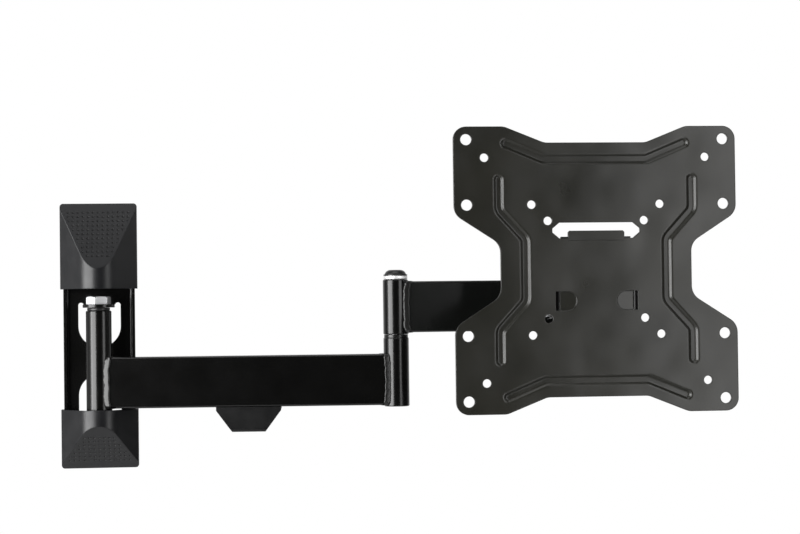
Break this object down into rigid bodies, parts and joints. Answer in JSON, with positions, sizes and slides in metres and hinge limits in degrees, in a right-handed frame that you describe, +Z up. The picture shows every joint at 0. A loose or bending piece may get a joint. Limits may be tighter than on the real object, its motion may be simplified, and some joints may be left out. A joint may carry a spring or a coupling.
{
  "type": "swivel tv wall mount",
  "caption": "Wall mount with two folding arms, a swivel and tilt head and a pressed square plate with slots and holes for a television.",
  "frame": {"origin": "on the wall at the back of the channel, midway across it, at the height of the middle of the shoulder tube", "axes": "+Z up, +X along the wall towards the plate, -Y from the wall into the room"},
  "size_m": [0.5216, 0.0952, 0.2609],
  "materials": {
    "black_powder": "fine textured satin powder coat",
    "black_plastic": "fine moulded grain, low sheen",
    "cap_plastic": "smooth, half gloss",
    "zinc_steel": "bright zinc plate",
    "polished_steel": "turned and polished"
  },
  "bodies": {
    "wall": {"wall_channel": "black_powder", "upper_cover": "black_plastic", "lower_cover": "black_plastic", "shoulder_bolt": "zinc_steel", "shoulder_nut": "zinc_steel"},
    "long_arm": {"shoulder_bushes": "black_plastic", "shoulder_tube": "black_powder", "long_arm": "black_powder", "long_arm_welds": "black_powder", "cable_clip": "black_plastic", "clip_screw": "zinc_steel", "elbow_lower_tube": "black_powder", "elbow_end_plug": "black_plastic", "elbow_thread_plug": "zinc_steel", "elbow_washer": "black_plastic", "elbow_bolt": "zinc_steel", "elbow_ring": "polished_steel", "elbow_cap": "cap_plastic"},
    "short_arm": {"elbow_upper_tube": "black_powder", "elbow_bushes": "black_plastic", "short_arm": "black_powder", "short_arm_welds": "black_powder", "head_tube": "black_powder", "head_bushes": "black_plastic"},
    "head": {"swivel_bracket": "black_powder", "head_bolt": "zinc_steel", "head_nut": "zinc_steel", "tilt_bolt": "zinc_steel", "tilt_nut": "zinc_steel", "tilt_washers": "zinc_steel", "guide_bolts": "zinc_steel", "guide_washers": "zinc_steel", "guide_nuts": "zinc_steel"},
    "plate": {"tilt_bracket": "black_powder", "plate_welds": "black_powder", "vesa_plate": "black_powder"}
  },
  "joints": [
    {"name": "shoulder", "type": "hinge", "parent": "wall", "child": "long_arm", "pos_m": [0, -0.019, 0], "axis": [0, 0, 1], "range_deg": [-175, 5]},
    {"name": "elbow", "type": "hinge", "parent": "long_arm", "child": "short_arm", "pos_m": [0.23211, -0.03931, 0], "axis": [0, 0, 1], "range_deg": [-110, 170]},
    {"name": "head_swivel", "type": "hinge", "parent": "short_arm", "child": "head", "pos_m": [0.38154, -0.02623, 0], "axis": [0, 0, 1], "range_deg": [-5, 195]},
    {"name": "head_tilt", "type": "hinge", "parent": "head", "child": "plate", "pos_m": [0.38154, -0.06723, 0.062], "axis": [1, 0, 0], "range_deg": [-5, 15]}
  ]
}
